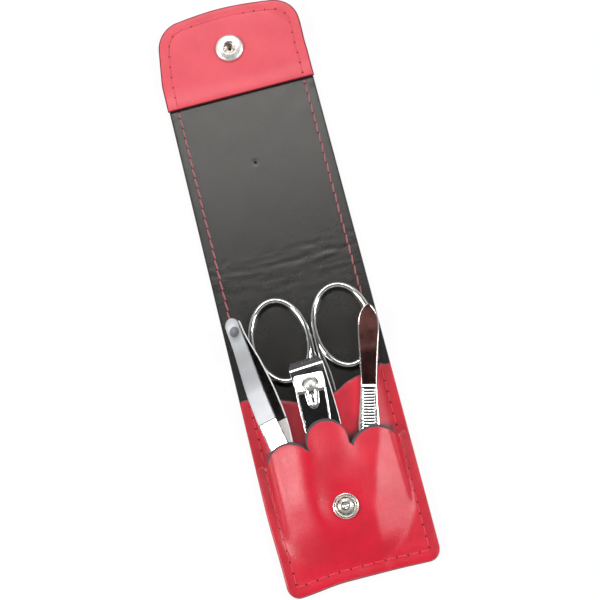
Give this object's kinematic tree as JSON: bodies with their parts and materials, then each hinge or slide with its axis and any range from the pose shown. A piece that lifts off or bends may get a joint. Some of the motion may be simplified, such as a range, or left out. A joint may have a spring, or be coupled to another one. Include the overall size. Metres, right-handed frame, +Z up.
{
  "type": "manicure set case",
  "caption": "Folding leather manicure case with a snap tab, scalloped pocket, nail scissors, nail clipper, tweezers and nail file.",
  "frame": {"origin": "middle of the open case's footprint, on the surface it lies on", "axes": "+Y along the case from the pocket end to the snap tab, +X to the right with the pockets nearest, +Z up out of the lining"},
  "size_m": [0.062, 0.2452, 0.0158],
  "materials": {
    "red_leather": "smooth, slightly glossy",
    "black_lining": "fine grain, matte",
    "red_thread": "matte thread",
    "plated_metal": "polished",
    "satin_steel": "satin",
    "file_steel": "satin with a cut rasp band"
  },
  "bodies": {
    "back": {"back_outer": "red_leather", "back_lining": "black_lining", "rear_pocket": "red_leather", "front_pocket": "red_leather", "back_thread": "red_thread", "snap_stud": "plated_metal", "snap_post": "plated_metal"},
    "spine": {"spine_outer": "red_leather", "spine_lining": "black_lining", "spine_thread": "red_thread"},
    "cover": {"cover_outer": "red_leather", "cover_lining": "black_lining", "tab_facing": "red_leather", "cover_thread": "red_thread", "snap_socket": "plated_metal", "snap_spring": "plated_metal", "snap_cap": "plated_metal"},
    "scissors": {"scissor_screw": "plated_metal"},
    "left_half": {"scissor_left": "plated_metal"},
    "right_half": {"scissor_right": "plated_metal"},
    "clipper": {"clipper_lower": "plated_metal", "clipper_pin": "plated_metal", "clipper_rivet": "plated_metal"},
    "upper_plate": {"clipper_upper": "plated_metal"},
    "lever": {"clipper_lever": "plated_metal"},
    "tweezers": {"tweezer_rivet": "plated_metal"},
    "front_arm": {"tweezer_front_arm": "satin_steel"},
    "rear_arm": {"tweezer_rear_arm": "satin_steel"},
    "file": {"nail_file": "file_steel"}
  },
  "joints": [
    {"name": "spine_fold", "type": "hinge", "parent": "back", "child": "spine", "pos_m": [0, -0.00336, 0.002], "axis": [-1, 0, 0], "range_deg": [-90, 0]},
    {"name": "cover_fold", "type": "hinge", "parent": "spine", "child": "cover", "pos_m": [0, 0.01164, 0.002], "axis": [-1, 0, 0], "range_deg": [-90, 0]},
    {"name": "scissors_slide", "type": "slide", "parent": "back", "child": "scissors", "axis": [0, 1, 0], "range_m": [0, 0.075]},
    {"name": "left_half_turn", "type": "hinge", "parent": "scissors", "child": "left_half", "pos_m": [0.0037, -0.06201, 0.0023], "axis": [0, 0, 1], "range_deg": [0, 8]},
    {"name": "right_half_turn", "type": "hinge", "parent": "scissors", "child": "right_half", "pos_m": [0.0037, -0.06201, 0.0023], "axis": [0, 0, 1], "range_deg": [-8, 0]},
    {"name": "clipper_slide", "type": "slide", "parent": "back", "child": "clipper", "axis": [-0.061, 0.9981, 0], "range_m": [0, 0.06]},
    {"name": "clipper_squeeze", "type": "hinge", "parent": "clipper", "child": "upper_plate", "pos_m": [0.0014, -0.08891, 0.0077], "axis": [-0.9981, -0.061, 0], "range_deg": [0, 1.7], "stiffness_Nm_per_rad": 0.3, "springref_deg": -0.57},
    {"name": "lever_swivel", "type": "hinge", "parent": "upper_plate", "child": "lever", "pos_m": [-0.00129, -0.04499, 0.0115], "axis": [0, 0, 1], "range_deg": [-4, 4]},
    {"name": "tweezers_slide", "type": "slide", "parent": "back", "child": "tweezers", "axis": [-0.1357, 0.9907, 0], "range_m": [0, 0.05]},
    {"name": "front_arm_squeeze", "type": "hinge", "parent": "tweezers", "child": "front_arm", "pos_m": [-0.0262, -0.01161, 0.01022], "axis": [0.8828, 0.1209, 0.454], "range_deg": [0, 0.45], "stiffness_Nm_per_rad": 0.1},
    {"name": "rear_arm_squeeze", "type": "hinge", "parent": "tweezers", "child": "rear_arm", "pos_m": [-0.0262, -0.01161, 0.01022], "axis": [0.8828, 0.1209, 0.454], "range_deg": [-0.45, 0]},
    {"name": "file_slide", "type": "slide", "parent": "back", "child": "file", "axis": [0.2402, 0.9707, 0], "range_m": [0, 0.055]}
  ],
  "couplings": [
    {"joint": "cover_fold", "follows": "spine_fold", "ratio": 1},
    {"joint": "right_half_turn", "follows": "left_half_turn", "ratio": -1},
    {"joint": "rear_arm_squeeze", "follows": "front_arm_squeeze", "ratio": -1}
  ]
}
